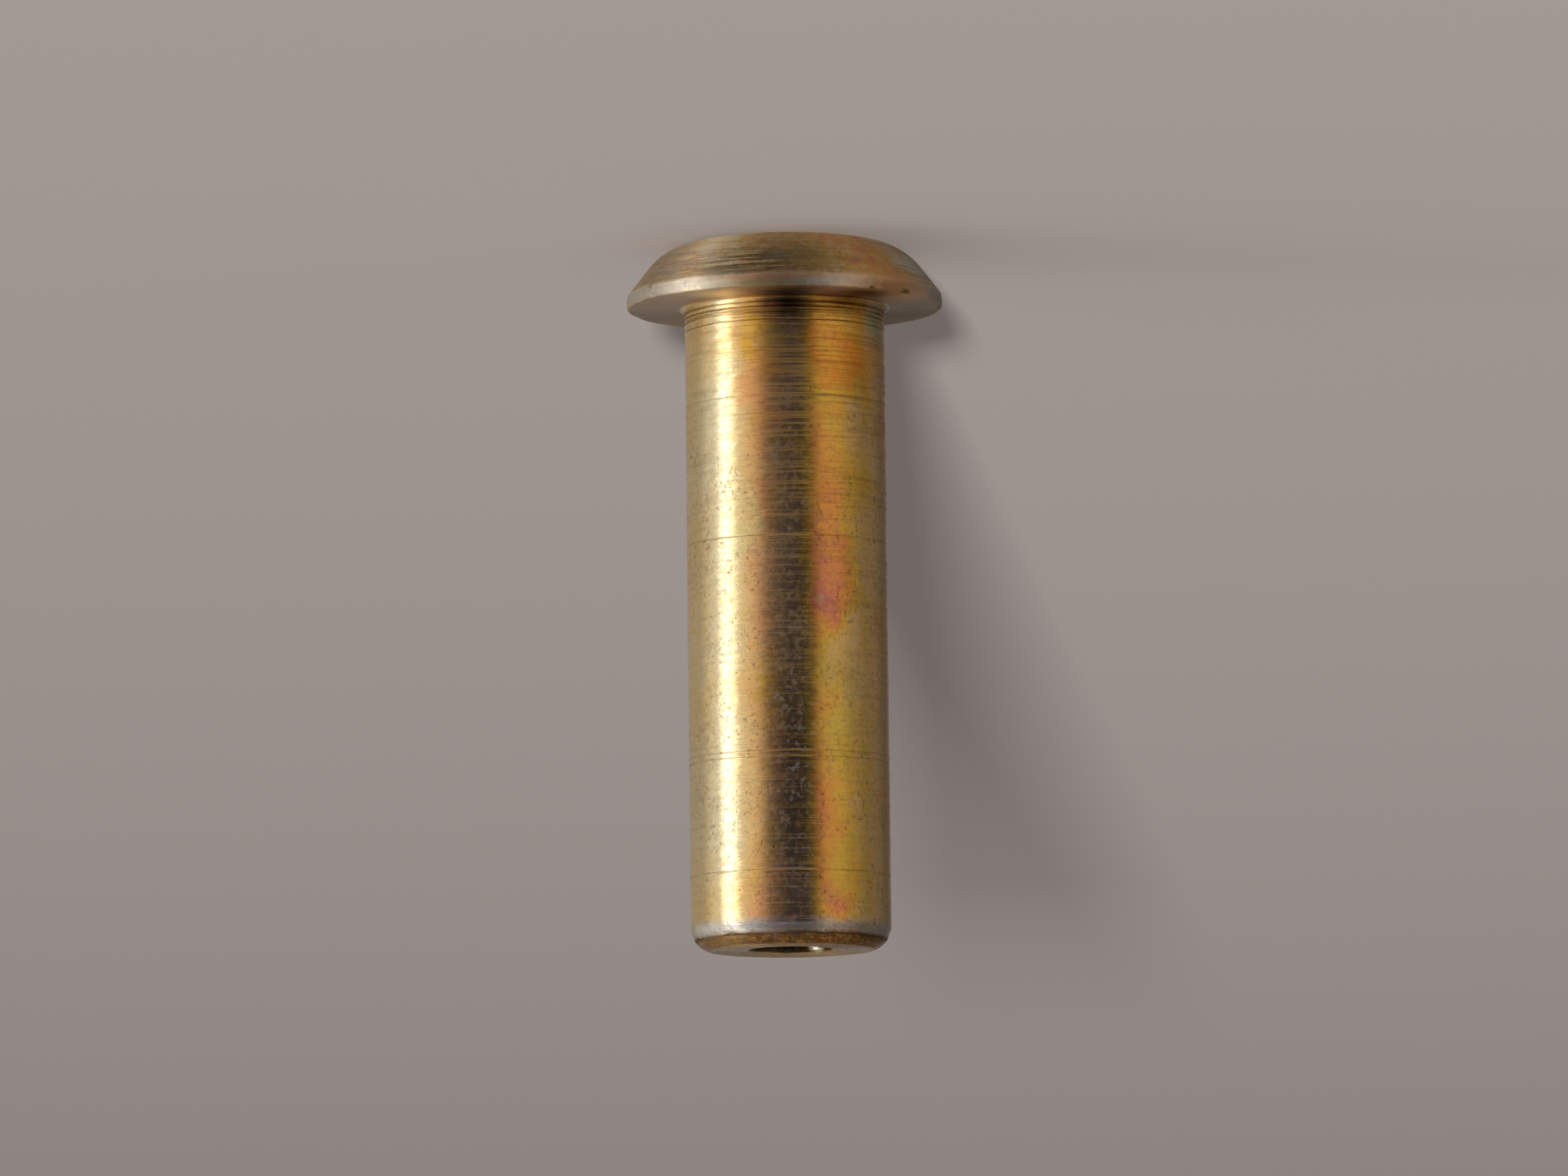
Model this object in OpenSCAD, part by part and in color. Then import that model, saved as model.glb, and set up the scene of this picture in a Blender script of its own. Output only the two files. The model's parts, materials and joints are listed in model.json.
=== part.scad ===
// Semi-tubular rivet, turned in one piece from steel bar: a flat-topped head with a sloping flank and a
// thin straight rim, a plain round shank with a small fillet under the head, and an end that is eased by
// a short lead taper and a rounded nose and drilled with a small blind hole.
// It stands on its head: the flat top lies on Z = 0 and the shank points up along +Z. Sizes are in mm.

/* [Head] */
// Diameter over the rim of the head
head_d = 7.9; // [6.6:0.1:10]
// Height of the head, from its flat top to the bearing face
head_h = 1.6; // [1.2:0.05:2.4]
// Height of the straight rim beside the bearing face
rim_h = 0.3; // [0.1:0.05:0.6]
// Slope of the flank, measured from the bearing face (degrees)
flank_angle = 52.5; // [40:0.5:65]
// Radius that blends the flank into the flat top
crown_r = 1.6; // [0.4:0.05:2]

/* [Shank] */
// Diameter of the shank
shank_d = 5; // [4:0.1:6]
// Length under the head, from the bearing face to the end face
shank_l = 16.1; // [8:0.1:40]
// Radius of the fillet between the bearing face and the shank
root_r = 0.12; // [0.05:0.01:0.3]

/* [End] */
// Length of the lead taper
lead_l = 0.27; // [0.2:0.01:0.6]
// How far the lead taper comes in from the shank's surface
lead_inset = 0.105; // [0.05:0.005:0.15]
// Height of the nose, from the end of the lead taper to the end face
nose_h = 0.24; // [0.12:0.01:0.3]
// Width of the nose, seen on the end face
nose_w = 0.32; // [0.2:0.01:0.4]
// Radius to which the nose is rounded
nose_r = 0.6; // [0.5:0.05:2]

/* [Hole] */
// Diameter of the hole in the end
hole_d = 2; // [1:0.1:3]
// Depth of the hole at its full diameter
hole_l = 5; // [2:0.1:7]
// Angle of the drill point at the bottom of the hole (degrees)
drill_angle = 118; // [90:1:140]
// Size of the 45 degree chamfer at the mouth of the hole
mouth_c = 0.1; // [0.05:0.01:0.3]

/* [Hidden] */
$fn = 128;

head_r = head_d / 2;
shank_r = shank_d / 2;
hole_r = hole_d / 2;

// Heights of the bearing face, the end face, and the two ends of the lead taper
bearing_z = head_h;
end_z = head_h + shank_l;
nose_z = end_z - nose_h;
lead_z = nose_z - lead_l;

// The flank's straight line meets the top at a corner, and the crown touches both a little way from it
flank_h = head_h - rim_h;
corner_r = head_r - flank_h / tan(flank_angle);
crown_touch = crown_r * tan(flank_angle / 2);
top_r = corner_r - crown_touch;

// The lead taper runs on to the end face, until the nose cuts it off at the crease
crease_r = shank_r - lead_inset;
taper_end_r = crease_r - nose_h * lead_inset / lead_l;

// The nose is an arc from the crease to the edge of the end face. Its centre lies on the middle line of
// the chord between those two points, on the side of the axis.
face_r = crease_r - nose_w;
nose_chord = sqrt(nose_w * nose_w + nose_h * nose_h);
nose_rise = sqrt(nose_r * nose_r - nose_chord * nose_chord / 4);
nose_centre = [
    (crease_r + face_r) / 2 - nose_rise * nose_h / nose_chord,
    (nose_z + end_z) / 2 - nose_rise * nose_w / nose_chord
];

// The drill point is a cone below the straight wall of the hole
hole_floor_z = end_z - hole_l;
point_h = hole_r / tan(drill_angle / 2);

// Half of the section with square corners, from the middle of the flat top to the bottom of the hole
module square_section() {
    polygon([
        [0, 0],
        [corner_r, 0],
        [head_r, flank_h],
        [head_r, bearing_z],
        [shank_r + root_r, bearing_z],
        [shank_r + root_r, bearing_z + root_r],
        [shank_r, bearing_z + root_r],
        [shank_r, lead_z],
        [taper_end_r, end_z],
        [hole_r + mouth_c, end_z],
        [hole_r, end_z - mouth_c],
        [hole_r, hole_floor_z],
        [0, hole_floor_z - point_h]
    ]);
}

// What the crown takes off the corner between the flank and the flat top
module crown_cut() {
    difference() {
        polygon([
            [top_r, 0],
            [corner_r, 0],
            [corner_r + crown_touch * cos(flank_angle), crown_touch * sin(flank_angle)],
            [top_r, crown_r]
        ]);
        translate([top_r, crown_r]) circle(r = crown_r);
    }
}

// What the fillet leaves open in the corner under the head
module root_cut() {
    translate([shank_r + root_r, bearing_z + root_r]) circle(r = root_r);
}

// What the rounded nose takes off the corner of the end, from half way down the lead taper
module nose_cut() {
    difference() {
        translate([nose_centre.x, nose_z - lead_l / 2]) square([nose_r, nose_r]);
        translate(nose_centre) circle(r = nose_r);
    }
}

module rivet() {
    color("#b8933f")
    rotate_extrude()
    difference() {
        square_section();
        crown_cut();
        root_cut();
        nose_cut();
    }
}

rivet();
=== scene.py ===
# %% [markdown]
# # A turned steel rivet with a yellow chromate finish
# The real rivet is one piece of steel bar, turned on a lathe: a flat-topped head, a plain shank, and a small
# hole drilled in the far end. It was then plated with zinc and dipped in a chromate bath, which leaves a
# thin golden film with olive, orange and rose tints. The solid model gives the sizes and the place. This
# script gives the surface: the tool marks, the worn edges, the film, and the light that shows them.

# %% Load the solid model and read its sizes
import json
import math

import bpy
from mathutils import Matrix, Vector


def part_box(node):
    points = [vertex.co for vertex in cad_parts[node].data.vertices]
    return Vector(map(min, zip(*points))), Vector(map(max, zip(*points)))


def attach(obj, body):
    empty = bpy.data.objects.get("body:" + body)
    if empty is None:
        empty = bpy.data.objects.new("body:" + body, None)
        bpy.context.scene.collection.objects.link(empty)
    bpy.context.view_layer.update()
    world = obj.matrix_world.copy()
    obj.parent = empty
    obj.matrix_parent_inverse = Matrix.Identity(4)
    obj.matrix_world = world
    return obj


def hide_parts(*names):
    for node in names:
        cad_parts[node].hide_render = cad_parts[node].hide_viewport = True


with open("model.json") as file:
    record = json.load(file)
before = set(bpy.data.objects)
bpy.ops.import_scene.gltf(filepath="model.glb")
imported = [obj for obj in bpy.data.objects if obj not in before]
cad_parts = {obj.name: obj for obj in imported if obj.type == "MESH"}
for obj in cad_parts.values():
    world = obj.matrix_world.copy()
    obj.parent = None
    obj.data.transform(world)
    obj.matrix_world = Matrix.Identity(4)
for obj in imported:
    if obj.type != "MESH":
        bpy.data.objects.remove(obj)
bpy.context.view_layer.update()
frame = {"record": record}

MM = 0.001
mounts = {mount["name"]: mount for mount in frame["record"]["mounts"]}
low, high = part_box("rivet")
head_r = (high.x - low.x) / 2 / MM
end_z = high.z / MM
bearing_z = mounts["bearing_face"]["pos_m"][2] / MM
shank_r = mounts["shank"]["dims"]["r_mm"]
hole_r = mounts["end_hole"]["dims"]["r_mm"]
hole_wall = mounts["end_hole"]["dims"]["length_mm"]
print(f"rivet: head {2 * head_r:.2f} mm, shank {2 * shank_r:.2f} mm, height {end_z:.2f} mm")

# %% [markdown]
# ## The outline
# A turned part is one outline spun round its axis, so the outline is all that has to be drawn. It could be a
# list of points, but a maker thinks in corners: each corner has a place, a radius that rounds it off, and a
# ring spacing for the straight run that follows. The edges that a drawing leaves sharp get a tiny radius
# here, because no real edge is perfectly sharp and a rounded one catches the light.

# %% Find the corners that follow from the sizes, in mm
RIM_H = 0.3
FLANK_DEG = 52.5
LEAD_INSET = 0.105
NOSE_H = 0.24
NOSE_W = 0.32
NOSE_R = 0.6
MOUTH_C = 0.1
DRILL_DEG = 118

flank_z = bearing_z - RIM_H
corner_r = head_r - flank_z / math.tan(math.radians(FLANK_DEG))
crease = Vector((shank_r - LEAD_INSET, end_z - NOSE_H))
face_edge = Vector((crease.x - NOSE_W, end_z))
chord = face_edge - crease
nose_out = Vector((chord.y, -chord.x)).normalized()
nose_bulge = chord.length / 2 * math.tan(math.asin(chord.length / 2 / NOSE_R))
nose_corner = (crease + face_edge) / 2 + nose_out * nose_bulge
hole_top = end_z - MOUTH_C
hole_floor = hole_top - hole_wall
point_h = hole_r / math.tan(math.radians(DRILL_DEG / 2))
print(f"flat top {2 * corner_r:.2f} mm to its sharp corner, hole floor {end_z - hole_floor:.2f} mm deep")

# %% List the corners
CROWN_R = 1.6
ROOT_R = 0.12
STEPS_L = 0.6
LEAD_L = 0.27
LEAD_R = 0.3
RIM_LOW_R = 0.1
RIM_HIGH_R = 0.07
EDGE_R = 0.035
MOUTH_R = 0.02
WALL_TOP_R = 0.05
FINE = 0.035
COARSE = 0.09

# name, radius from the axis, height, rounding radius, spacing of the rings after it
corners = [
    ("top_centre", 0, 0, 0, COARSE),
    ("crown", corner_r, 0, CROWN_R, FINE),
    ("rim_low", head_r, flank_z, RIM_LOW_R, FINE),
    ("rim_high", head_r, bearing_z, RIM_HIGH_R, COARSE),
    ("root", shank_r, bearing_z, ROOT_R, FINE / 2),
    ("steps_end", shank_r, bearing_z + STEPS_L, 0, FINE),
    ("lead", shank_r, end_z - NOSE_H - LEAD_L, LEAD_R, FINE),
    ("crease", crease.x, crease.y, EDGE_R, FINE),
    ("nose", nose_corner.x, nose_corner.y, NOSE_R, FINE),
    ("face_edge", face_edge.x, face_edge.y, EDGE_R, COARSE),
    ("mouth", hole_r + MOUTH_C, end_z, MOUTH_R, FINE),
    ("wall_top", hole_r, hole_top, WALL_TOP_R, 3 * COARSE),
    ("wall_floor", hole_r, hole_floor, 0, 3 * COARSE),
    ("drill_point", 0, hole_floor - point_h, 0, COARSE),
]
print("corners:", len(corners))


# %% Round the corners and space the rings
def corner_arc(before, here, after, radius):
    """Points on the arc that rounds a corner, from one straight side to the other."""
    to_before = (before - here).normalized()
    to_after = (after - here).normalized()
    half = to_before.angle(to_after) / 2
    reach = radius / math.tan(half)
    centre = here + (to_before + to_after).normalized() * (radius / math.sin(half))
    first = here + to_before * reach - centre
    last = here + to_after * reach - centre
    sweep = first.angle_signed(last)
    steps = max(3, math.ceil(abs(sweep) * radius / FINE))
    return [centre + first @ Matrix.Rotation(sweep * k / steps, 2) for k in range(steps + 1)]


def rounded_outline(corners):
    """The outline's points, how far along it each lies, and how far along each named corner lies."""
    spots = [Vector(corner[1:3]) for corner in corners]
    points = [spots[0]]
    marks = {corners[0][0]: 0.0}
    along = [0.0]
    for i in range(1, len(corners)):
        name, radius, spacing = corners[i][0], corners[i][3], corners[i - 1][4]
        turn = corner_arc(spots[i - 1], spots[i], spots[i + 1], radius) if radius else [spots[i]]
        straight = turn[0] - points[-1]
        pieces = max(1, math.ceil(straight.length / spacing))
        fresh = [points[-1] + straight * (k / pieces) for k in range(1, pieces)] + turn
        for point in fresh:
            along.append(along[-1] + (point - points[-1]).length)
            points.append(point)
        marks[name] = along[-1 - len(turn) // 2]
    return points, along, marks


points, along, marks = rounded_outline(corners)
print(f"outline: {len(points)} rings, {along[-1]:.2f} mm long")

# %% [markdown]
# ## A helper for node trees
# Geometry and shader trees are both built the same way: add a node, set its own options, and give each
# input either a value or another node's output. One small function does that and hands back an output, so
# a tree reads from the inside out like a formula. A second one turns the hex colours that people write into
# the linear ones that a shader works in.


# %% Add one node with its settings and links, and read a colour
def add(tree, kind, inputs=None, out=0, **settings):
    made = tree.nodes.new(kind)
    for name, value in settings.items():
        setattr(made, name, value)
    for key, value in (inputs or {}).items():
        if isinstance(value, bpy.types.NodeSocket):
            tree.links.new(value, made.inputs[key])
        else:
            made.inputs[key].default_value = value
    return made.outputs[out] if made.outputs else made


def colour(hex_value):
    """A colour written as sRGB hex, as the linear colour that a shader works in."""
    parts = [int(hex_value[i:i + 2], 16) / 255 for i in (1, 3, 5)]
    linear = [p / 12.92 if p <= 0.04045 else ((p + 0.055) / 1.055) ** 2.4 for p in parts]
    return (*linear, 1.0)


print("middle grey in linear light:", round(colour("#808080")[0], 3))

# %% [markdown]
# ## The finish: yellow chromate on zinc-plated, turned steel
# The zinc under the film is a metal, so its colour sits in the reflections. The film is a few hundred
# nanometres thick and its tint follows its thickness: pale straw where it is thinnest, then gold, orange and
# rose, then green. So the tints are not painted one by one. One number, the film's thickness, drifts over
# the surface, and a ramp turns it into a colour.

# %% Start the finish with the film's thickness
finish = bpy.data.materials.new("yellow_chromate_zinc_turned_steel")
finish.use_nodes = True
tree = finish.node_tree
tree.nodes.clear()
place = add(tree, "ShaderNodeTexCoord", out="Object")
place = add(tree, "ShaderNodeVectorMath", {0: place, 1: (1 / MM,) * 3}, operation="MULTIPLY")
across, depth, height = add(tree, "ShaderNodeSeparateXYZ", {0: place}).node.outputs
run = add(tree, "ShaderNodeAttribute", out="Fac", attribute_name="along")

# The film is uneven across the shank, as the part hung in the bath: a place from 0 at -X to 1 at +X, and the
# thickness there
film_across = (
    (0.03, 0.34), (0.14, 0.44), (0.26, 0.54), (0.36, 0.62), (0.42, 0.47), (0.5, 0.4), (0.61, 0.42),
    (0.67, 0.36), (0.76, 0.14), (0.85, 0.03), (0.92, 0.16))
film = add(tree, "ShaderNodeMapRange", {0: across, 1: -shank_r, 2: shank_r, 3: 0.0, 4: 1.0})
film = add(tree, "ShaderNodeValToRGB", {0: film})
slope = film.node.color_ramp
slope.interpolation = "EASE"
for stop, thickness in film_across:
    slope.elements.new(stop).color = (thickness, thickness, thickness, 1.0)
for spare in (0, -1):
    slope.elements.remove(slope.elements[spare])
print("film:", len(slope.elements), "steps across the shank")

# %% Let the film drift
# Patches of 2 to 4 mm, and a mottle of a third of a millimetre that is strongest on the head
PATCH_MM = (2.5, 2.5, 10 / 3)
MOTTLE_MM = 1 / 3
PATCH_DRIFT = 0.5
MOTTLE_DRIFT = 0.22
MORE_ON_HEAD = 1.3

patch_scale = tuple(1 / size for size in PATCH_MM)
patch_place = add(tree, "ShaderNodeVectorMath", {0: place, 1: patch_scale}, operation="MULTIPLY")
for where, scale, amount in ((patch_place, 1.0, PATCH_DRIFT), (place, 1 / MOTTLE_MM, MOTTLE_DRIFT)):
    drift = add(tree, "ShaderNodeTexNoise", {
        "Vector": where, "Scale": scale, "Detail": 3.0, "Distortion": 0.5})
    drift = add(tree, "ShaderNodeMath", {0: drift, 1: 0.5}, operation="SUBTRACT")
    film = add(tree, "ShaderNodeMath", {0: drift, 1: amount, 2: film}, operation="MULTIPLY_ADD")
on_head = add(tree, "ShaderNodeMapRange", {
    0: run, 1: marks["rim_low"] - 0.1, 2: marks["rim_low"], 3: 1.0, 4: 0.0})
drift = add(tree, "ShaderNodeMath", {0: drift, 1: on_head}, operation="MULTIPLY")
film = add(tree, "ShaderNodeMath", {0: drift, 1: MORE_ON_HEAD, 2: film}, operation="MULTIPLY_ADD")
print(f"film: patches of {PATCH_MM[0]} mm, mottle of {MOTTLE_MM:.2f} mm")

# %% [markdown]
# Some tints sit at places of their own. Each is a soft egg-shaped spot on a face, given by its turn from the
# viewer, its height, its half width and half height, and then by what it adds to the film, or by a colour
# and its share where dirt or wear hides the film, or where a shade, a dark reflection or a highlight is
# painted. Spots are laid in the order of the list, so a later one covers an earlier one.

# %% List the spots that thicken or thin the film
# face, turn in degrees, height, half width and half height in mm, thickness added
film_spots = [
    ("shank", 41, 3.2, 0.8, 1.4, 0.3),  # orange below the head
    ("shank", 27, 8.7, 0.6, 1.2, 0.3),  # rose in the middle
    ("shank", 34, 10.7, 0.8, 1.2, -0.15),  # straw beyond the rose
    ("shank", 27, 16.6, 0.5, 0.8, 0.22),  # rose near the end
    ("shank", -26, 2.8, 0.45, 0.9, 0.14),  # gold beside the bright side
    ("shank", -24, 5.0, 0.5, 1.2, 0.1),
    ("shank", 30, 5.6, 0.7, 1.3, 0.06),
    ("shank", -45, 2.6, 1.0, 1.3, 0.12),  # gold at both ends of the bright side
    ("shank", -45, 16.4, 1.0, 1.2, 0.12),
    ("flank", 40, 0.9, 1.0, 0.9, 0.3),  # orange on the head
    ("shank", 22, 14.2, 0.45, 1.0, 0.08),  # orange along the dark side
    ("shank", 21, 15.3, 0.4, 0.9, 0.08),
    ("shank", 26, 7.0, 0.5, 0.9, 0.1),
    ("shank", 150, 4.5, 0.9, 1.6, 0.25),  # rose and orange at the back
    ("shank", 205, 11.0, 0.8, 1.5, 0.3),
    ("shank", 120, 14.0, 0.7, 1.2, 0.25),
]
print("film spots:", len(film_spots))

# %% List the spots of other tints, painted shade and painted highlights among them
# face, turn in degrees, height, half width and half height in mm, colour, share of it
tint_spots = [
    ("flank", -15, 0.95, 1.9, 0.5, "#261C0E", 0.73),  # dark brush marks on the head
    ("flank", 14, 0.8, 0.8, 0.4, "#A89A5A", 0.6),
    ("flank", 42, 1.0, 0.9, 0.6, "#D89C56", 0.75),
    # painted light: pale streaks on the flank towards -X
    ("flank", 66, 0.9, 1.0, 0.5, "#E2DCC8", 0.9),
    ("flank", -52, 0.8, 1.3, 0.6, "#9C8680", 0.6),
    ("rim", -6, 1.35, 1.5, 0.1, "#F0AE7A", 0.8),  # orange upper line of the rim
    ("rim", 45, 1.45, 1.6, 0.4, "#E0A262", 0.85),
    # painted shade: the rim's lower edge darkened in front, as a dark reflection
    ("rim", 4, 1.6, 1.2, 0.08, "#5A4630", 0.4),
    ("rim", 33.6, 1.57, 0.1, 0.05, "#241A12", 0.8),  # specks of dirt on its edges
    ("rim", 50, 1.58, 0.17, 0.06, "#241A12", 0.8),
    ("rim", -58, 1.3, 0.12, 0.05, "#3A2B1C", 0.6),
    ("bearing", 0, 1.6, 0.9, 0.4, "#1C1511", 0.85),  # painted shade under the head: a dark reflection in the corner in front, and the bearing face darker towards -X and the back
    ("bearing", 38, 1.6, 0.9, 0.3, "#33200F", 0.92),
    ("bearing", 104, 1.6, 1.9, 0.3, "#4A3E3A", 0.95),
    ("bearing", 140, 1.6, 1.6, 0.3, "#5A4E4A", 0.9),
    # painted reflection: the gold of the shank on the bearing face towards +X
    ("bearing", -32, 1.6, 0.7, 0.3, "#EFD49C", 0.8),
    # painted shade: the top of the shank darkened under the head, in front and towards -X
    ("shank", 1, 1.8, 0.75, 0.42, "#1C1511", 0.88),
    ("shank", 40, 1.74, 1.3, 0.24, "#4A2A10", 0.75),
    ("shank", 62, 2.2, 0.45, 0.55, "#86A886", 0.7),  # green at the edge of the orange
    ("nose", 48, 17.55, 1.0, 0.3, "#3E2313", 0.4),  # the nose darker towards -X and paler towards +X
    ("nose", -50, 17.6, 0.9, 0.25, "#BE9C68", 0.5),
    ("shank", -60, 17.28, 0.7, 0.17, "#FFF6E6", 0.85),  # bare zinc on the lead taper, whitened towards +X as a painted highlight
    ("hole", 140, 17.58, 0.2, 0.15, "#FFF0D4", 1.0),  # painted glint in the hole
    ("shank", 42, 3.0, 0.95, 1.2, "#FFA030", 0.7),
    # painted reflection: the middle of the lead taper darkened, facing the dim gap
    ("shank", 5, 17.3, 1.0, 0.15, "#77756F", 0.6),
    ("shank", 46, 17.3, 0.9, 0.15, "#A07C5E", 0.5),
    ("shank", 31, 11.0, 0.6, 1.3, "#C2A84C", 0.55),  # olive on the dark side
    ("shank", 31, 15.7, 0.45, 0.8, "#CDB448", 0.45),
    ("shank", -11, 6.7, 0.4, 1.5, "#EE9A5E", 0.5),  # orange where bright turns to dark
    ("shank", -11, 13.0, 0.38, 2.0, "#EE9A5E", 0.4),
    ("shank", 28, 12.5, 0.45, 1.0, "#D4C058", 0.5),
    ("shank", -13, 4.0, 0.5, 2.0, "#F0A06A", 0.6),
    ("shank", -13, 9.3, 0.45, 1.6, "#EAA078", 0.45),
    ("shank", -13, 16.4, 0.45, 1.2, "#EAA078", 0.65),
    ("rim", -10, 1.5, 1.0, 0.15, "#C0A470", 0.8),
    ("shank", -27, 7.6, 0.4, 0.9, "#DCD49A", 0.4),
    ("shank", -14, 17.27, 0.7, 0.16, "#A4B0B8", 0.7),
    ("shank", 1, 13.8, 0.55, 2.6, "#6A5840", 0.42),  # darker and greyer down the front of the shank, towards the end
    ("worn", 1, 13.0, 0.62, 3.4, "#C4C0BA", 0.8),  # flecks worn through the film
    ("worn", 0, 5.5, 0.5, 2.0, "#BDB9B2", 0.4),
]
print("spots of other tints:", len(tint_spots))

# %% [markdown]
# Each spot becomes a mask: the distance from its middle, in half widths and half heights, fades it out. A
# wide noise bends the large spots and a fine one jogs the small ones, so that no edge looks drawn. Then the
# film has all its thickness, and the ramp gives it a tint.

# %% Turn the spots into masks
BEND_PER_MM = 0.9
BEND_MM = (1.8, 1.8, 3.0)
JOG_PER_MM = 5.0
JOG_MM = (0.25, 0.25, 0.25)
LARGE_SPOT = 0.7
FADE_OUT = 1.5

bend = add(tree, "ShaderNodeTexNoise", {"Vector": place, "Scale": BEND_PER_MM, "Detail": 4.0}, out="Color")
bend = add(tree, "ShaderNodeVectorMath", {0: bend, 1: (0.5, 0.5, 0.5)}, operation="SUBTRACT")
bent = add(tree, "ShaderNodeVectorMath", {0: bend, 1: BEND_MM, 2: place}, operation="MULTIPLY_ADD")
jog = add(tree, "ShaderNodeTexNoise", {"Vector": place, "Scale": JOG_PER_MM, "Detail": 3.0}, out="Color")
jog = add(tree, "ShaderNodeVectorMath", {0: jog, 1: (0.5, 0.5, 0.5)}, operation="SUBTRACT")
jogged = add(tree, "ShaderNodeVectorMath", {0: jog, 1: JOG_MM, 2: place}, operation="MULTIPLY_ADD")

# How far from the axis each face lies, near enough for a soft spot
face_r = {"flank": head_r - 0.5, "rim": head_r, "bearing": 3.2, "shank": shank_r, "worn": shank_r,
          "nose": 2.25, "hole": hole_r}
spot_masks = []
for face, turned_by, up, half_w, half_h in [spot[:5] for spot in film_spots + tint_spots]:
    angle = math.radians(turned_by)
    centre = (-face_r[face] * math.sin(angle), -face_r[face] * math.cos(angle), up)
    moved = bent if half_h > LARGE_SPOT else jogged
    off = add(tree, "ShaderNodeVectorMath", {0: moved, 1: centre}, operation="SUBTRACT")
    off = add(tree, "ShaderNodeVectorMath", {0: off, 1: (half_w, half_w, half_h)}, operation="DIVIDE")
    off = add(tree, "ShaderNodeVectorMath", {0: off}, out="Value", operation="LENGTH")
    spot_masks.append(add(tree, "ShaderNodeMapRange", {0: off, 1: 0.0, 2: FADE_OUT, 3: 1.0, 4: 0.0},
                          interpolation_type="SMOOTHSTEP"))
film_masks = spot_masks[:len(film_spots)]
tint_masks = spot_masks[len(film_spots):]
print("masks:", len(spot_masks))

# %% Give the film its tint
for spot, mask in zip(film_spots, film_masks):
    film = add(tree, "ShaderNodeMath", {0: mask, 1: spot[5], 2: film}, operation="MULTIPLY_ADD")
film_tints = (
    (0.02, "#E7D8B1"), (0.25, "#ECCB8E"), (0.4, "#EDBE7C"), (0.53, "#E9B74C"), (0.7, "#EC9C50"),
    (0.85, "#DF856A"), (0.97, "#B9BA7C"))
tints = add(tree, "ShaderNodeValToRGB", {0: film})
ramp = tints.node.color_ramp
for thickness, tint in film_tints:
    ramp.elements.new(thickness).color = colour(tint)
for spare in (0, -1):
    ramp.elements.remove(ramp.elements[spare])
print("film:", len(ramp.elements), "tints, from straw to green")

# %% [markdown]
# The tool left rings round the shank, coarse near the head and finer further on. Pits and specks came with
# the plating. In a groove or a pit the metal is rough, so it scatters light: it looks dark inside a bright
# reflection and pale inside a dark one. So both work mainly through the roughness.

# %% Draw the rings
RING_FADE_MM = 9
FAR_RINGS = 0.26
BEARING_RINGS = 0.05
FLANK_MARKS = 0.4

# Rings are strongest on the shank below the head, most on its -X side, and faintest on the bearing face
near_head = add(tree, "ShaderNodeMapRange", {0: across, 1: -2.0, 2: 2.0, 3: 0.72, 4: 0.4})
ring_share = add(tree, "ShaderNodeMapRange", {
    0: run, 1: marks["root"], 2: marks["root"] + RING_FADE_MM, 3: near_head, 4: FAR_RINGS})
on_shank = add(tree, "ShaderNodeMapRange", {
    0: run, 1: marks["root"] - ROOT_R, 2: marks["root"], 3: BEARING_RINGS, 4: 1.0})
on_flank = add(tree, "ShaderNodeMath", {0: on_head, 1: FLANK_MARKS}, operation="MULTIPLY")
ring_share = add(tree, "ShaderNodeMath", {0: ring_share, 1: on_shank, 2: on_flank}, operation="MULTIPLY_ADD")

# rings a millimetre, change round the axis, and the noise levels between which a groove deepens
ring_kinds = {
    "coarse": (5.0, 0.35, 0.54, 0.66),
    "scuffs": (16.0, 0.18, 0.53, 0.62),
    "stains": (10.0, 0.4, 0.54, 0.64),
    "ripple": (4.5, 1.1, 0.0, 1.0),
    "streaks": (14.0, 0.75, 0.36, 0.54),
}
rings = {}
for kind, (per_mm, swing, low_cut, high_cut) in ring_kinds.items():
    round_and_along = add(tree, "ShaderNodeCombineXYZ", {
        0: add(tree, "ShaderNodeMath", {0: across, 1: swing}, operation="MULTIPLY"),
        1: add(tree, "ShaderNodeMath", {0: depth, 1: swing}, operation="MULTIPLY"),
        2: add(tree, "ShaderNodeMath", {0: run, 1: per_mm}, operation="MULTIPLY")})
    ring = add(tree, "ShaderNodeTexNoise", {
        "Vector": round_and_along, "Scale": 1.0, "Detail": 2.0, "Roughness": 0.6})
    rings[kind] = add(tree, "ShaderNodeMapRange", {0: ring, 1: low_cut, 2: high_cut})
coarse, scuffs, stains = [
    add(tree, "ShaderNodeMath", {0: rings[kind], 1: ring_share}, operation="MULTIPLY")
    for kind in ("coarse", "scuffs", "stains")]
print("rings:", ", ".join(rings))

# %% Add single deeper scores
SCORE_WAVE_MM = 0.08
SCORE_DEPTH = 0.9
SCORE_STAIN = 0.5

# height on the shank and width, in mm
scores = ((1.95, 0.03), (2.2, 0.03), (4.1, 0.025), (7.6, 0.02), (12.95, 0.03), (13.1, 0.025), (15.9, 0.03))
wave = add(tree, "ShaderNodeSeparateXYZ", {0: bend})
wave = add(tree, "ShaderNodeMath", {0: wave, 1: SCORE_WAVE_MM, 2: height}, operation="MULTIPLY_ADD")
for score_z, score_w in scores:
    gap = add(tree, "ShaderNodeMath", {0: wave, 1: score_z}, operation="SUBTRACT")
    gap = add(tree, "ShaderNodeMath", {0: gap}, operation="ABSOLUTE")
    score = add(tree, "ShaderNodeMapRange", {0: gap, 1: 0.0, 2: score_w, 3: SCORE_DEPTH, 4: 0.0})
    scuffs = add(tree, "ShaderNodeMath", {0: scuffs, 1: score}, operation="MAXIMUM")
    stains = add(tree, "ShaderNodeMath", {0: score, 1: SCORE_STAIN, 2: stains}, operation="MULTIPLY_ADD")
print("scores:", len(scores))

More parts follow.
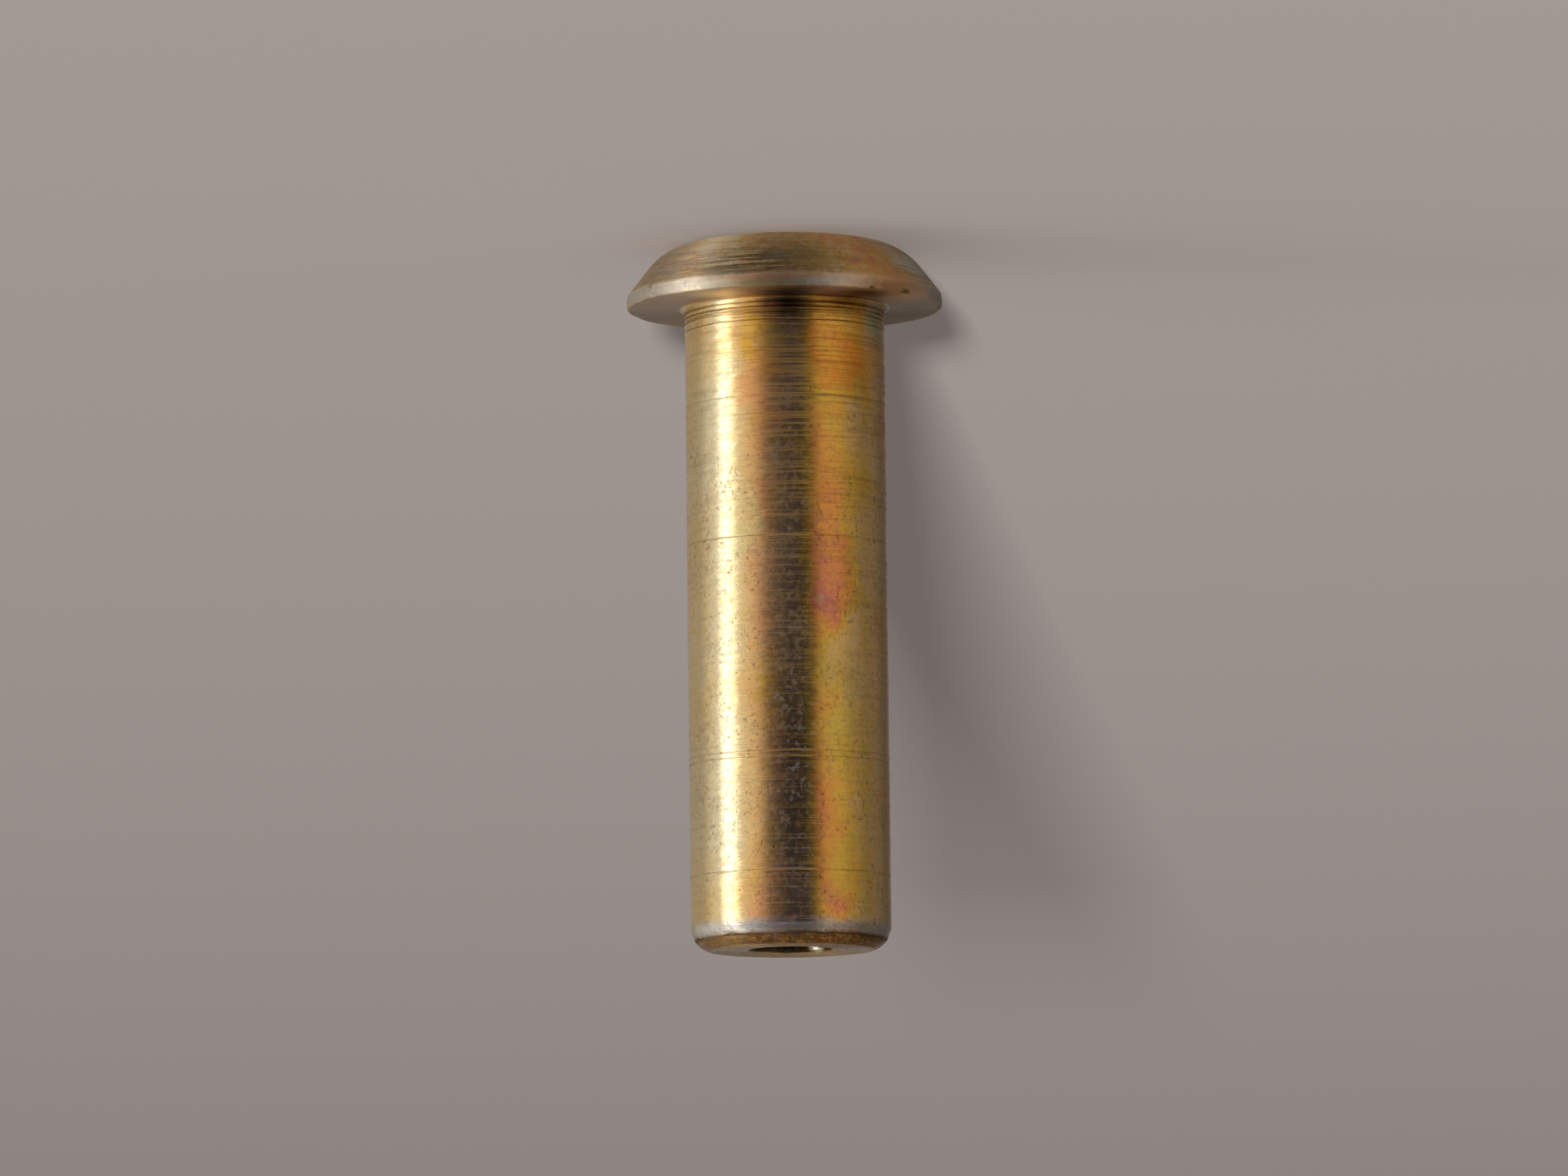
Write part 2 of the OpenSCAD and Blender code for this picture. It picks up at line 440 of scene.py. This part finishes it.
# %% Scatter the pits and specks
# They gather in places a millimetre or so across, and there are fewest near the root of the head
CLUSTER_PER_MM = 0.8
CLUSTER_CUT = 0.06
ROOT_SPECKS = 0.35
SPECK_RISE_MM = 5

cluster = add(tree, "ShaderNodeTexNoise", {"Vector": place, "Scale": CLUSTER_PER_MM, "Detail": 2.0})
cluster = add(tree, "ShaderNodeMapRange", {0: cluster, 1: 0.4, 2: 0.6, 3: CLUSTER_CUT, 4: 0.0})
speck_share = add(tree, "ShaderNodeMapRange", {
    0: run, 1: marks["root"], 2: marks["root"] + SPECK_RISE_MM, 3: ROOT_SPECKS, 4: 1.0})
speck_share = add(tree, "ShaderNodeMath", {0: speck_share, 1: on_flank})

# Specks a millimetre, and the noise levels between which they show. The real pits are finer, and are drawn
# this coarse so that they show
speck_kinds = {
    "haze": (7.5, 0.44, 0.68),
    "pits": (9.0, 0.54, 0.74),
    "flecks": (7.0, 0.46, 0.6),
    "bare": (5.5, 0.5, 0.6),
}
specks = {}
for kind, (per_mm, low_cut, high_cut) in speck_kinds.items():
    speck = add(tree, "ShaderNodeTexNoise", {
        "Vector": place, "Scale": per_mm, "Detail": 3.0, "Roughness": 0.65})
    speck = add(tree, "ShaderNodeMath", {0: speck, 1: cluster}, operation="SUBTRACT")
    speck = add(tree, "ShaderNodeMapRange", {0: speck, 1: low_cut, 2: high_cut})
    specks[kind] = add(tree, "ShaderNodeMath", {0: speck, 1: speck_share}, operation="MULTIPLY")
print("specks:", ", ".join(specks))

# %% [markdown]
# The rest follows the turning: how far along the outline a point lies says which face it is on. The flank
# is brushed and dull. The rim and the lead taper are rubbed down to pale zinc. The nose is rust brown with
# golden flecks, the end face is dull, and the inside of the hole is darkened as painted shade. A noise makes
# the borders ragged.

# %% Give each face its own colour and roughness
RAGGED_PER_MM = 3.0
RAGGED_REACH = 3
ROOT_ROUGH = 0.23
END_ROUGH = 0.11
SMOOTHED_MM = 15

ragged = add(tree, "ShaderNodeTexNoise", {
    "Vector": place, "Scale": RAGGED_PER_MM, "Detail": 4.0, "Roughness": 0.65})
ragged = add(tree, "ShaderNodeMath", {0: ragged, 1: 0.5}, operation="SUBTRACT")
# start and end along the outline in mm, softness, colour, share of it, roughness added, only in flecks
faces = [
    (-1.0, marks["rim_low"] - 0.05, 0.05, "#A88E78", 0.5, 0.2, False),
    (marks["rim_low"] - 0.04, marks["rim_high"] + 0.02, 0.09, "#E4DED4", 0.8, 0.32, False),
    (marks["rim_high"] + 0.03, marks["root"] - 0.1, 0.04, "#AC988A", 0.85, 0.2, False),
    (marks["lead"] - 0.02, marks["crease"] - 0.01, 0.16, "#BFC2C6", 0.85, 0.18, False),
    (marks["crease"], marks["face_edge"] + 0.02, 0.03, "#74481F", 0.9, 0.2, False),
    (marks["crease"] + 0.04, marks["face_edge"] + 0.02, 0.03, "#D89C54", 0.75, 0.0, True),
    (marks["crease"] - 0.04, marks["crease"] + 0.04, 0.05, "#38261A", 0.75, 0.2, False),
    (marks["face_edge"] + 0.02, marks["mouth"] + 0.01, 0.03, "#AE957A", 0.9, 0.2, False),
    (marks["face_edge"] + 0.04, marks["mouth"] + 0.01, 0.03, "#7E7050", 0.4, 0.0, True),
    # painted shade: the inside of the hole darkened as a recess
    (marks["mouth"] + 0.04, 99.0, 0.03, "#2C1F12", 0.97, 0.25, False),
]
base = tints
rough = add(tree, "ShaderNodeMapRange", {
    0: run, 1: marks["root"], 2: marks["root"] + SMOOTHED_MM, 3: ROOT_ROUGH, 4: END_ROUGH})
for start, stop, soft, shade, share, more_rough, in_flecks in faces:
    edge = add(tree, "ShaderNodeMath", {0: ragged, 1: RAGGED_REACH * soft, 2: run}, operation="MULTIPLY_ADD")
    rise = add(tree, "ShaderNodeMapRange", {0: edge, 1: start - soft, 2: start + soft})
    fall = add(tree, "ShaderNodeMapRange", {0: edge, 1: stop - soft, 2: stop + soft, 3: 1.0, 4: 0.0})
    mask = add(tree, "ShaderNodeMath", {0: rise, 1: fall}, operation="MULTIPLY")
    if in_flecks:
        mask = add(tree, "ShaderNodeMath", {0: mask, 1: specks["flecks"]}, operation="MULTIPLY")
    rough = add(tree, "ShaderNodeMath", {0: mask, 1: more_rough, 2: rough}, operation="MULTIPLY_ADD")
    mask = add(tree, "ShaderNodeMath", {0: mask, 1: share}, operation="MULTIPLY")
    base = add(tree, "ShaderNodeMix", {0: mask, 6: base, 7: colour(shade)}, out=2, data_type="RGBA")
print("faces:", len(faces), "layers from head to hole")

# %% Lay the marks and the spots over the faces
# mask, colour, share of it, roughness added
layers = [
    (coarse, "#8A6C40", 0.06, 0.12),
    (scuffs, "#B99A62", 0.05, 0.31),
    (stains, "#4A381C", 0.38, 0.0),
    (specks["haze"], "#9A8E80", 0.28, 0.25),
    (specks["pits"], "#5A4024", 0.68, 0.1),
]
for mask, shade, share, more_rough in layers:
    rough = add(tree, "ShaderNodeMath", {0: mask, 1: more_rough, 2: rough}, operation="MULTIPLY_ADD")
    mask = add(tree, "ShaderNodeMath", {0: mask, 1: share}, operation="MULTIPLY")
    base = add(tree, "ShaderNodeMix", {0: mask, 6: base, 7: colour(shade)}, out=2, data_type="RGBA")

# Brush marks break the spots on the flank into streaks, and worn places show as flecks of bare zinc
broken_by = {"flank": rings["streaks"], "worn": specks["bare"]}
# The flecks are rough, and the glint in the hole is a smooth place on its wall
spot_rough = {"worn": 0.45, "hole": -0.35}
for (face, _, _, _, _, shade, share), mask in zip(tint_spots, tint_masks):
    if face in broken_by:
        mask = add(tree, "ShaderNodeMath", {0: mask, 1: broken_by[face]}, operation="MULTIPLY")
    mask = add(tree, "ShaderNodeMath", {0: mask, 1: share}, operation="MULTIPLY")
    if face in spot_rough:
        rough = add(tree, "ShaderNodeMath", {
            0: mask, 1: spot_rough[face], 2: rough}, operation="MULTIPLY_ADD")
    base = add(tree, "ShaderNodeMix", {0: mask, 6: base, 7: colour(shade)}, out=2, data_type="RGBA")
print("layers:", len(layers), "of marks and", len(tint_spots), "of spots")

# %% Cut the relief and close the material
# The tool's ripple makes the long reflections waver, and grooves and pits are cut into it
RIPPLE_MM = 0.02
CUT_MM = 0.008

relief = add(tree, "ShaderNodeBump", {"Strength": 1.0, "Distance": RIPPLE_MM * MM, "Height": rings["ripple"]})
cut = add(tree, "ShaderNodeMath", {0: coarse, 1: stains}, operation="MAXIMUM")
for mask, share in ((specks["pits"], 0.3), (scuffs, 1.0)):
    cut = add(tree, "ShaderNodeMath", {0: mask, 1: share, 2: cut}, operation="MULTIPLY_ADD")
relief = add(tree, "ShaderNodeBump", {
    "Strength": 1.0, "Distance": CUT_MM * MM, "Height": cut, "Normal": relief}, invert=True)
# Turned metal spreads a reflection across its rings, so the highlight is stretched along the axis
round_axis = add(tree, "ShaderNodeVectorMath", {0: (0.0, 0.0, 1.0), 1: place}, operation="CROSS_PRODUCT")
surface = add(tree, "ShaderNodeBsdfPrincipled", {
    "Base Color": base, "Metallic": 1.0, "Roughness": rough, "Normal": relief, "Tangent": round_axis,
    "Anisotropic": 0.85, "Anisotropic Rotation": 0.25, "Specular Tint": colour("#F0E0D0")})
add(tree, "ShaderNodeOutputMaterial", {"Surface": surface})
print("finish:", finish.name, len(tree.nodes), "nodes")

# %% [markdown]
# ## The lathe
# Blender could spin the outline with its Screw modifier, but a Geometry Nodes tree can do more while it
# spins: it wraps a flat grid round the axis, one row of the grid for each point of the outline, and then
# pushes the surface in and out by the feed of the tool and by the knocks that the edges took. The tree
# stores how far along the outline each point lies, so that the finish can follow the turning.

# %% Open the lathe tree and name its inputs
lathe = bpy.data.node_groups.new("lathe", "GeometryNodeTree")
lathe.interface.new_socket("Geometry", in_out="OUTPUT", socket_type="NodeSocketGeometry")
lathe_inputs = {"Outline": "NodeSocketObject", "Finish": "NodeSocketMaterial", "Segments": "NodeSocketInt"}
for name in ("Ring depth", "Ring pitch", "Step depth", "Nick depth", "Root", "Rim low", "Rim high", "Crease"):
    lathe_inputs[name] = "NodeSocketFloat"
keys = {name: lathe.interface.new_socket(name, in_out="INPUT", socket_type=kind).identifier
        for name, kind in lathe_inputs.items()}
given = lathe.nodes.new("NodeGroupInput").outputs
print("lathe inputs:", ", ".join(keys))

# %% Wrap a grid round the axis
MERGE_M = 1e-7

outline = add(lathe, "GeometryNodeObjectInfo", {"Object": given["Outline"]}, out="Geometry")
count = add(lathe, "GeometryNodeAttributeDomainSize", {"Geometry": outline}, out="Point Count")
columns = add(lathe, "ShaderNodeMath", {0: given["Segments"], 1: 1.0})
grid = add(lathe, "GeometryNodeMeshGrid", {
    "Size X": 1.0, "Size Y": 1.0, "Vertices X": columns, "Vertices Y": count})

# The grid is 1 by 1 and lies about the origin: X is the share of a turn, Y the number of the ring
where = add(lathe, "ShaderNodeSeparateXYZ", {0: add(lathe, "GeometryNodeInputPosition")}).node.outputs
turn = add(lathe, "ShaderNodeMath", {0: where[0], 1: 0.5})
turn = add(lathe, "ShaderNodeMath", {0: turn, 1: math.tau}, operation="MULTIPLY")
row = add(lathe, "ShaderNodeMath", {0: where[1], 1: 0.5})
last_row = add(lathe, "ShaderNodeMath", {0: count, 1: 1.0}, operation="SUBTRACT")
row = add(lathe, "ShaderNodeMath", {0: row, 1: last_row}, operation="MULTIPLY")
row = add(lathe, "ShaderNodeMath", {0: row}, operation="ROUND")

here = add(lathe, "GeometryNodeInputPosition")
reach = add(lathe, "GeometryNodeInputNamedAttribute", {"Name": "along"})
drawn = add(lathe, "GeometryNodeSampleIndex", {0: outline, "Value": here, "Index": row},
            data_type="FLOAT_VECTOR")
drawn = add(lathe, "ShaderNodeSeparateXYZ", {0: drawn}).node.outputs
drawn_reach = add(lathe, "GeometryNodeSampleIndex", {0: outline, "Value": reach, "Index": row})
cosine, sine = [add(lathe, "ShaderNodeMath", {0: turn}, operation=kind) for kind in ("COSINE", "SINE")]
wrapped = add(lathe, "ShaderNodeCombineXYZ", {
    0: add(lathe, "ShaderNodeMath", {0: drawn[0], 1: cosine}, operation="MULTIPLY"),
    1: add(lathe, "ShaderNodeMath", {0: drawn[0], 1: sine}, operation="MULTIPLY"),
    2: drawn[2]})
skin = add(lathe, "GeometryNodeStoreNamedAttribute", {
    "Geometry": grid, "Name": "along", "Value": drawn_reach})
skin = add(lathe, "GeometryNodeSetPosition", {"Geometry": skin, "Position": wrapped})
skin = add(lathe, "GeometryNodeMergeByDistance", {"Geometry": skin, "Distance": MERGE_M})
skin = add(lathe, "GeometryNodeSetShadeSmooth", {"Geometry": skin})
print("lathe tree, the wrapped grid:", len(lathe.nodes), "nodes")

# %% Cut the feed rings and the steps under the head
FEED_SWING = 0.12
FEED_FADE_MM = 5.0
FEED_FAR = 0.35
STEP_PITCH_MM = 0.13

here_mm = add(lathe, "ShaderNodeVectorMath", {0: here, 1: (1 / MM,) * 3}, operation="MULTIPLY")
sides = add(lathe, "ShaderNodeSeparateXYZ", {0: here_mm}).node.outputs
feed = add(lathe, "ShaderNodeCombineXYZ", {
    0: add(lathe, "ShaderNodeMath", {0: sides[0], 1: FEED_SWING}, operation="MULTIPLY"),
    1: add(lathe, "ShaderNodeMath", {0: sides[1], 1: FEED_SWING}, operation="MULTIPLY"),
    2: add(lathe, "ShaderNodeMath", {0: reach, 1: given["Ring pitch"]}, operation="DIVIDE")})
feed = add(lathe, "ShaderNodeTexNoise", {"Vector": feed, "Scale": 1.0, "Detail": 1.0})
feed = add(lathe, "ShaderNodeMath", {0: feed, 1: 0.5}, operation="SUBTRACT")
fade_end = add(lathe, "ShaderNodeMath", {0: given["Root"], 1: FEED_FADE_MM})
fade = add(lathe, "ShaderNodeMapRange", {0: reach, 1: given["Root"], 2: fade_end, 3: 1.0, 4: FEED_FAR})
feed = add(lathe, "ShaderNodeMath", {0: feed, 1: fade}, operation="MULTIPLY")
feed = add(lathe, "ShaderNodeMath", {0: feed, 1: given["Ring depth"]}, operation="MULTIPLY")

# Fine steps on the shank, where the tool turned in, between two distances from the root
past = add(lathe, "ShaderNodeMath", {0: reach, 1: given["Root"]}, operation="SUBTRACT")
steps = add(lathe, "ShaderNodeMath", {0: past, 1: math.tau / STEP_PITCH_MM}, operation="MULTIPLY")
steps = add(lathe, "ShaderNodeMath", {0: steps}, operation="SINE")
for start, stop, first, after in ((0.07, 0.12, 0.0, 1.0), (0.34, 0.5, 1.0, 0.0)):
    part = add(lathe, "ShaderNodeMapRange", {0: past, 1: start, 2: stop, 3: first, 4: after})
    steps = add(lathe, "ShaderNodeMath", {0: steps, 1: part}, operation="MULTIPLY")
feed = add(lathe, "ShaderNodeMath", {0: steps, 1: given["Step depth"], 2: feed}, operation="MULTIPLY_ADD")
print("lathe tree, with the feed:", len(lathe.nodes), "nodes")

# %% Knock the edges and end the tree
KNOCKS_PER_MM = 2.2
EDGE_REACH_MM = 0.1

knocks = add(lathe, "ShaderNodeTexNoise", {"Vector": here_mm, "Scale": KNOCKS_PER_MM, "Detail": 2.0})
knocks = add(lathe, "ShaderNodeMapRange", {0: knocks, 1: 0.52, 2: 0.68})
edge = None
for name in ("Rim low", "Rim high", "Crease"):
    gap = add(lathe, "ShaderNodeMath", {0: reach, 1: given[name]}, operation="SUBTRACT")
    gap = add(lathe, "ShaderNodeMath", {0: gap}, operation="ABSOLUTE")
    close = add(lathe, "ShaderNodeMapRange", {0: gap, 1: 0.0, 2: EDGE_REACH_MM, 3: 1.0, 4: 0.0})
    edge = add(lathe, "ShaderNodeMath", {0: edge, 1: close}, operation="MAXIMUM") if edge else close
knocks = add(lathe, "ShaderNodeMath", {0: knocks, 1: edge}, operation="MULTIPLY")
knocks = add(lathe, "ShaderNodeMath", {0: knocks, 1: given["Nick depth"]}, operation="MULTIPLY")
push = add(lathe, "ShaderNodeMath", {0: feed, 1: knocks}, operation="SUBTRACT")
outward = add(lathe, "GeometryNodeInputNormal")
push = add(lathe, "ShaderNodeVectorMath", {0: outward, "Scale": push}, operation="SCALE")
skin = add(lathe, "GeometryNodeSetPosition", {"Geometry": skin, "Offset": push})
skin = add(lathe, "GeometryNodeRealizeInstances", {"Geometry": skin})
skin = add(lathe, "GeometryNodeSetMaterial", {"Geometry": skin, "Material": given["Finish"]})
lathe.links.new(skin, lathe.nodes.new("NodeGroupOutput").inputs[0])
print("lathe tree:", len(lathe.nodes), "nodes")

# %% [markdown]
# The tree needs the outline as a mesh of points and edges, with the distance along it as an attribute. The
# modifier then runs once, its result is kept as a plain mesh, and the outline is thrown away.

# %% Turn the rivet and keep it as a plain mesh
guide_mesh = bpy.data.meshes.new("outline")
guide_points = [(point.x * MM, 0, point.y * MM) for point in points]
guide_mesh.from_pydata(guide_points, [(i, i + 1) for i in range(len(points) - 1)], [])
guide_mesh.attributes.new("along", "FLOAT", "POINT").data.foreach_set("value", along)
guide = bpy.data.objects.new("outline", guide_mesh)
rivet = bpy.data.objects.new("turned_rivet", bpy.data.meshes.new("turned_rivet"))
for made in (guide, rivet):
    bpy.context.scene.collection.objects.link(made)

turning = rivet.modifiers.new("lathe", "NODES")
turning.node_group = lathe
settings = {
    "Outline": guide, "Finish": finish, "Segments": 120, "Ring depth": 0.003 * MM, "Ring pitch": 0.16,
    "Step depth": 0.006 * MM, "Nick depth": 0.03 * MM, "Root": marks["root"], "Rim low": marks["rim_low"],
    "Rim high": marks["rim_high"], "Crease": marks["crease"],
}
for name, value in settings.items():
    turning[keys[name]] = value
graph = bpy.context.evaluated_depsgraph_get()
turned = bpy.data.meshes.new_from_object(
    rivet.evaluated_get(graph), preserve_all_data_layers=True, depsgraph=graph)
rivet.modifiers.remove(turning)
rivet.data = turned
bpy.data.objects.remove(guide)

# %% Check which way the faces point, and hand the rivet over
# Six times the volume is the sum of the triple products of the triangles: below zero, they face inwards
turned.calc_loop_triangles()
volume = 0.0
for triangle in turned.loop_triangles:
    a, b, c = [turned.vertices[i].co for i in triangle.vertices]
    volume += a.dot(b.cross(c)) / 6
if volume < 0:
    turned.flip_normals()
print(f"turned rivet: {len(turned.loop_triangles)} triangles, volume {volume * 1e9:.1f} mm3")
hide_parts("rivet")
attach(rivet, "root")

# %% [markdown]
# ## The floor
# The rivet stands on a plain sheet of pale paper. It takes the shadow, and nothing else in the picture asks
# for attention. The metal does not mirror it: what the metal shows is the room, which is painted below.

# %% Lay the floor
FLOOR_HALF_M = 3.0

square = [(x * FLOOR_HALF_M, y * FLOOR_HALF_M, 0) for x, y in ((-1, -1), (1, -1), (1, 1), (-1, 1))]
floor_mesh = bpy.data.meshes.new("floor")
floor_mesh.from_pydata(square, [], [(0, 1, 2, 3)])
floor = bpy.data.objects.new("floor", floor_mesh)
bpy.context.scene.collection.objects.link(floor)
paper = bpy.data.materials.new("matt_paper")
paper.use_nodes = True
paper.node_tree.nodes.clear()
sheet = add(paper.node_tree, "ShaderNodeBsdfDiffuse", {"Color": colour("#A49C99")})
add(paper.node_tree, "ShaderNodeOutputMaterial", {"Surface": sheet})
floor_mesh.materials.append(paper)
floor.visible_glossy = False
print("floor:", 2 * FLOOR_HALF_M, "m square")

# %% [markdown]
# ## The light
# Metal shows what is around it, so its look is made by the room: a tall window on one side with a bright
# wall round it, a dim gap where the viewer stands, and a darker wall on the other side. The room is painted
# on the world as soft panels, each laid over the ones before it. One lamp throws the shadow.

# %% Find the direction in the room
world = bpy.data.worlds.new("room")
bpy.context.scene.world = world
world.use_nodes = True
room = world.node_tree
room.nodes.clear()
toward = add(room, "ShaderNodeTexCoord", out="Generated")
toward = add(room, "ShaderNodeSeparateXYZ", {0: toward}).node.outputs
aside, ahead = [add(room, "ShaderNodeMath", {0: toward[i], 1: -1.0}, operation="MULTIPLY") for i in (0, 1)]
azimuth = add(room, "ShaderNodeMath", {0: aside, 1: ahead}, operation="ARCTAN2")
azimuth = add(room, "ShaderNodeMath", {0: azimuth}, operation="DEGREES")
elevation = add(room, "ShaderNodeMath", {0: toward[2]}, operation="ARCSINE")
elevation = add(room, "ShaderNodeMath", {0: elevation}, operation="DEGREES")
print("room: turn and height of each direction, in degrees, by", len(room.nodes), "nodes")

# %% Paint the room
BACKDROP = "#A39D9A"
CEILING = "#9C9894"
SOFT_DEG = 12

# turn from the viewer, half width, softness and half height in degrees, colour, strength
panels = [
    (0, 180, 1, 30, "#B4BCFF", 0.085),  # dim gap
    (95, 45, 35, 45, "#FFFFFF", 0.21),  # darker walls behind
    (-110, 80, 35, 45, "#FFFFFF", 0.42),
    (-71.5, 37.5, 14, 56, "#FFFAF2", 0.8),  # bright wall
    (60, 26, 18, 52, "#FFF8F0", 0.4),  # wall on the other side
    (52, 15, 9, 52, "#FFF8F0", 0.55),
    (-74.5, 8.5, 8, 38, "#FFFFFF", 2.8),  # window
]
light = colour(CEILING)
for side, half_w, soft, half_h, shade, strength in panels:
    off = add(room, "ShaderNodeMath", {0: azimuth, 1: side}, operation="SUBTRACT")
    off = add(room, "ShaderNodeMath", {0: off, 1: 180.0, 2: -180.0}, operation="WRAP")
    off = add(room, "ShaderNodeMath", {0: off}, operation="ABSOLUTE")
    rise = add(room, "ShaderNodeMath", {0: elevation}, operation="ABSOLUTE")
    beside = add(room, "ShaderNodeMapRange", {0: off, 1: half_w - soft, 2: half_w + soft, 3: 1.0, 4: 0.0},
                 interpolation_type="SMOOTHSTEP")
    level = add(room, "ShaderNodeMapRange", {
        0: rise, 1: half_h - SOFT_DEG, 2: half_h + SOFT_DEG, 3: 1.0, 4: 0.0}, interpolation_type="SMOOTHSTEP")
    share = add(room, "ShaderNodeMath", {0: beside, 1: level}, operation="MULTIPLY")
    glow = [c * strength for c in colour(shade)[:3]] + [1.0]
    light = add(room, "ShaderNodeMix", {0: share, 6: light, 7: glow}, out=2, data_type="RGBA")
# The camera itself sees a plain backdrop
seen = add(room, "ShaderNodeLightPath", out="Is Camera Ray")
light = add(room, "ShaderNodeMix", {0: seen, 6: light, 7: colour(BACKDROP)}, out=2, data_type="RGBA")
add(room, "ShaderNodeOutputWorld", {"Surface": add(room, "ShaderNodeBackground", {"Color": light})})
print("room:", len(panels), "panels")

# %% Hang the lamp
LAMP_PLACE_M = (0.084, -1.6, 0.155)
LAMP_W_M = 0.09
LAMP_H_M = 0.06
LAMP_WATTS = 135.0

lamp_data = bpy.data.lights.new("window_lamp", "AREA")
lamp_data.shape = "RECTANGLE"
lamp_data.size = LAMP_W_M
lamp_data.size_y = LAMP_H_M
lamp_data.energy = LAMP_WATTS
lamp = bpy.data.objects.new("window_lamp", lamp_data)
bpy.context.scene.collection.objects.link(lamp)
lamp.location = LAMP_PLACE_M
lamp.rotation_euler = (-lamp.location).to_track_quat("-Z", "Y").to_euler()
lamp.visible_glossy = False
lamp.visible_camera = False
print(f"lamp: {lamp.location.length:.2f} m away")

# %% [markdown]
# ## The camera
# The photograph was taken from a little past the drilled end, with a long lens, so the shank hardly tapers
# in the picture. Here the rivet stands on its head, so the camera looks down on it by the same few degrees
# and is turned over, with the head at the top of the picture.

# %% Set the camera
PHOTO_W = 2048
FOCAL_PX = 13500
SENSOR_MM = 36.0
VIEW_DEG = 7.03
LEAN_DEG = 0.61
DISTANCE_MM = 257.9
AIM_Z_MM = 8.63
AXIS_RIGHT_PX = 4.5

camera_data = bpy.data.cameras.new("camera")
camera_data.sensor_width = SENSOR_MM
camera_data.lens = FOCAL_PX * SENSOR_MM / PHOTO_W
camera_data.clip_start = 0.01
camera_data.clip_end = 20.0
camera = bpy.data.objects.new("camera", camera_data)
bpy.context.scene.collection.objects.link(camera)
bpy.context.scene.camera = camera
tip = math.radians(VIEW_DEG)
back = Vector((0, -math.cos(tip), math.sin(tip)))
upward = Vector((0, math.sin(tip), math.cos(tip)))
roll = math.radians(180 - LEAN_DEG)
right = Vector((math.cos(roll), 0, 0)) + upward * math.sin(roll)
above = Vector((-math.sin(roll), 0, 0)) + upward * math.cos(roll)
shift = right * (AXIS_RIGHT_PX * DISTANCE_MM / FOCAL_PX * MM)
stand = Vector((0, 0, AIM_Z_MM * MM)) + back * (DISTANCE_MM * MM) - shift
camera.matrix_world = Matrix.Translation(stand) @ Matrix((right, above, back)).transposed().to_4x4()
print(f"camera: {camera_data.lens:.0f} mm lens, {DISTANCE_MM:.0f} mm away")

# %% Plain view settings
bpy.context.scene.view_settings.view_transform = "Standard"
